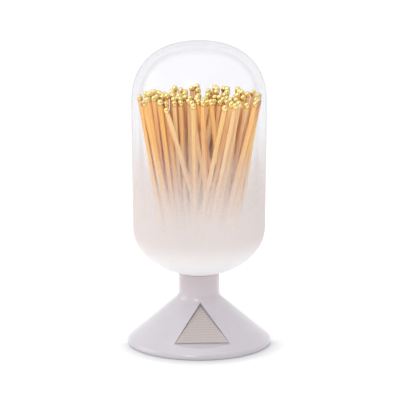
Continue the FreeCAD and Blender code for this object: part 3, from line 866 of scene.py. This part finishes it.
def add_head(bm, place, long, sizes, dice):
    """Dipped bulb over the end of a stick, square at its lower edge and round above."""
    rise_layer = bm.verts.layers.float["rise"]
    tint_layer = bm.verts.layers.float["tint"]
    tint = dice.random()
    # Below this share of its height the bulb keeps something of the stick's four sides
    square_below = 0.4
    squareness = 0.16
    # Under 1 this makes the bulb fuller than a ball
    fullness = 0.72
    tilt = 0.08
    half_step = math.radians(15)
    made = bmesh.ops.create_uvsphere(bm, u_segments=12, v_segments=6, radius=1)
    wide = sizes.head_radius * dice.uniform(1 - sizes.head_spread, 1)
    tall = sizes.head_length * dice.uniform(1 - sizes.head_spread, 1)
    for vertex in made["verts"]:
        x, y, z = vertex.co
        turn = math.atan2(y, x) + half_step
        around = math.hypot(x, y)
        rise = (z + 1) / 2
        squared = max(0.0, 1 - rise / square_below) * squareness
        square = 1 / max(abs(math.cos(turn)), abs(math.sin(turn))) - 1
        radius = wide * around**fullness * (1 - squared * (0.5 - square))
        vertex.co = (radius * math.cos(turn), radius * math.sin(turn), rise * tall)
        # This height share drives the gold's painted shade
        vertex[rise_layer] = rise
        vertex[tint_layer] = tint
    lean = Matrix.Rotation(dice.uniform(-tilt, tilt), 4, "X")
    lean @= Matrix.Rotation(dice.uniform(-tilt, tilt), 4, "Y")
    foot = Matrix.Translation((0, 0, long - sizes.head_grip))
    bmesh.ops.transform(bm, matrix=place @ foot @ lean, verts=made["verts"])


class STRIKER_OT_matches(bpy.types.Operator):
    """Model the sticks and the gold heads of the matches, ring by ring"""

    bl_idname = "striker.matches"
    bl_label = "Matches"

    def execute(self, context):
        sizes = context.scene.striker_matches
        dice = random.Random(MATCH_SEED)
        wood = matchwood()
        gold = gold_dip()
        for ring in RINGS:
            sticks = bmesh.new()
            sticks.loops.layers.uv.new("grain")
            sticks.faces.layers.float.new("tint")
            heads = bmesh.new()
            heads.verts.layers.float.new("rise")
            heads.verts.layers.float.new("tint")
            for corners in separate_solids(f"match_sticks_ring_{ring}"):
                place, width, long = stick_place(corners)
                add_stick(sticks, place, width, long, sizes.edge_round, dice.random(), dice.uniform(0, 50))
                add_head(heads, place, long, sizes, dice)
            bmesh.ops.recalc_face_normals(heads, faces=heads.faces)
            sticks_piece = piece_from(f"wooden_sticks_{ring}", sticks, [wood])
            heads_piece = piece_from(f"gold_heads_{ring}", heads, [gold])
            heads_piece.data.shade_smooth()
            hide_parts(f"match_sticks_ring_{ring}")
            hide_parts(f"match_heads_ring_{ring}")
            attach(sticks_piece, "root")
            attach(heads_piece, "root")
        return {"FINISHED"}


class STRIKER_OT_patch(bpy.types.Operator):
    """Finish the striking patch in its recess"""

    bl_idname = "striker.patch"
    bl_label = "Striking patch"

    def execute(self, context):
        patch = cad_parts["striker_patch"]
        patch.data.materials.clear()
        patch.data.materials.append(abrasive_sheet())
        return {"FINISHED"}


def add_area_light(name, place, aim, size, power):
    """Round softbox that points at its aim."""
    lamp = bpy.data.lights.new(name, "AREA")
    lamp.shape = "DISK"
    lamp.size = size
    lamp.energy = power
    holder = bpy.data.objects.new(name, lamp)
    holder.location = place
    holder.rotation_euler = (aim - place).to_track_quat("-Z", "Y").to_euler()
    bpy.context.scene.collection.objects.link(holder)


class STRIKER_OT_stage(bpy.types.Operator):
    """Set up the white floor, the soft light and the camera"""

    bl_idname = "striker.stage"
    bl_label = "Stage"

    def execute(self, context):
        sizes = context.scene.striker_stage
        bm = bmesh.new()
        bmesh.ops.create_grid(bm, x_segments=1, y_segments=1, size=sizes.floor_size / 2)
        floor = piece_from("floor", bm, [white_floor()])
        self.light(sizes)
        self.camera(sizes)
        context.scene.view_settings.view_transform = "Standard"
        return {"FINISHED"}

    def light(self, sizes):
        world = bpy.data.worlds.new("studio")
        bpy.context.scene.world = world
        world.use_nodes = True
        tree = world.node_tree
        tree.nodes.clear()
        ahead = add_node(tree, "ShaderNodeTexCoord").outputs["Generated"]
        depth = add_node(tree, "ShaderNodeVectorMath", {1: BRIGHT_SIDE}, {0: ahead}, operation="DOT_PRODUCT")
        limits = {"From Min": -0.9, "From Max": -0.1, "To Min": sizes.front_shade}
        dim = add_node(tree, "ShaderNodeMapRange", limits, {"Value": depth.outputs["Value"]}, **SMOOTH)
        straight = add_node(tree, "ShaderNodeLightPath").outputs["Is Camera Ray"]
        white = {0: dim.outputs["Result"], 1: straight}
        white = add_node(tree, "ShaderNodeMath", links=white, operation="MAXIMUM").outputs[0]
        seen = {0: seen_by_eye(tree), 3: white}
        strength = add_node(tree, "ShaderNodeMix", {2: sizes.ambient}, seen).outputs[0]
        sky = add_node(tree, "ShaderNodeBackground", {"Color": (1, 1, 1, 1)}, {"Strength": strength})
        add_node(tree, "ShaderNodeOutputWorld", links={"Surface": sky.outputs[0]})
        middle = Vector((0, 0, sizes.aim_height))
        for name, (place, width) in LAMPS.items():
            add_area_light(name, Vector(place), middle, width, getattr(sizes, f"{name}_power"))

    def camera(self, sizes):
        turn = sizes.camera_turn
        rise = sizes.camera_rise
        back = Vector((math.sin(turn) * math.cos(rise), -math.cos(turn) * math.cos(rise), math.sin(rise)))
        right = Vector((math.cos(turn), math.sin(turn), 0))
        place = Vector((0, 0, sizes.sight_height)) + back * sizes.camera_distance
        aim = Vector((0, 0, sizes.aim_height)) + right * sizes.aim_across
        lens = bpy.data.cameras.new("camera")
        lens.sensor_width = SENSOR_WIDTH
        lens.lens = lens.sensor_width * sizes.camera_distance / sizes.view_width
        lens.clip_end = CAMERA_REACH
        camera = bpy.data.objects.new("camera", lens)
        camera.location = place
        camera.rotation_euler = (aim - place).to_track_quat("-Z", "Y").to_euler()
        bpy.context.scene.collection.objects.link(camera)
        bpy.context.scene.camera = camera


class STRIKER_PT_panel(bpy.types.Panel):
    """Buttons that build each piece"""

    bl_label = "Match Striker"
    bl_idname = "STRIKER_PT_panel"
    bl_space_type = "VIEW_3D"
    bl_region_type = "UI"
    bl_category = "Match Striker"

    def draw(self, context):
        for operator in OPERATORS:
            self.layout.operator(operator.bl_idname)


GROUPS = {
    "striker_base": BaseSizes,
    "striker_cloche": ClocheSizes,
    "striker_matches": MatchSizes,
    "striker_patch": StrikerSizes,
    "striker_stage": StageSizes,
}
OPERATORS = (STRIKER_OT_base, STRIKER_OT_cloche, STRIKER_OT_matches, STRIKER_OT_patch, STRIKER_OT_stage)


def register():
    for name, group in GROUPS.items():
        bpy.utils.register_class(group)
        setattr(bpy.types.Scene, name, PointerProperty(type=group))
    for operator in OPERATORS:
        bpy.utils.register_class(operator)
    bpy.utils.register_class(STRIKER_PT_panel)


def unregister():
    bpy.utils.unregister_class(STRIKER_PT_panel)
    for operator in reversed(OPERATORS):
        bpy.utils.unregister_class(operator)
    for name, group in GROUPS.items():
        delattr(bpy.types.Scene, name)
        bpy.utils.unregister_class(group)


def main():
    register()
    bpy.ops.striker.base()
    bpy.ops.striker.cloche()
    bpy.ops.striker.matches()
    bpy.ops.striker.patch()
    bpy.ops.striker.stage()


if __name__ == "__main__":
    main()
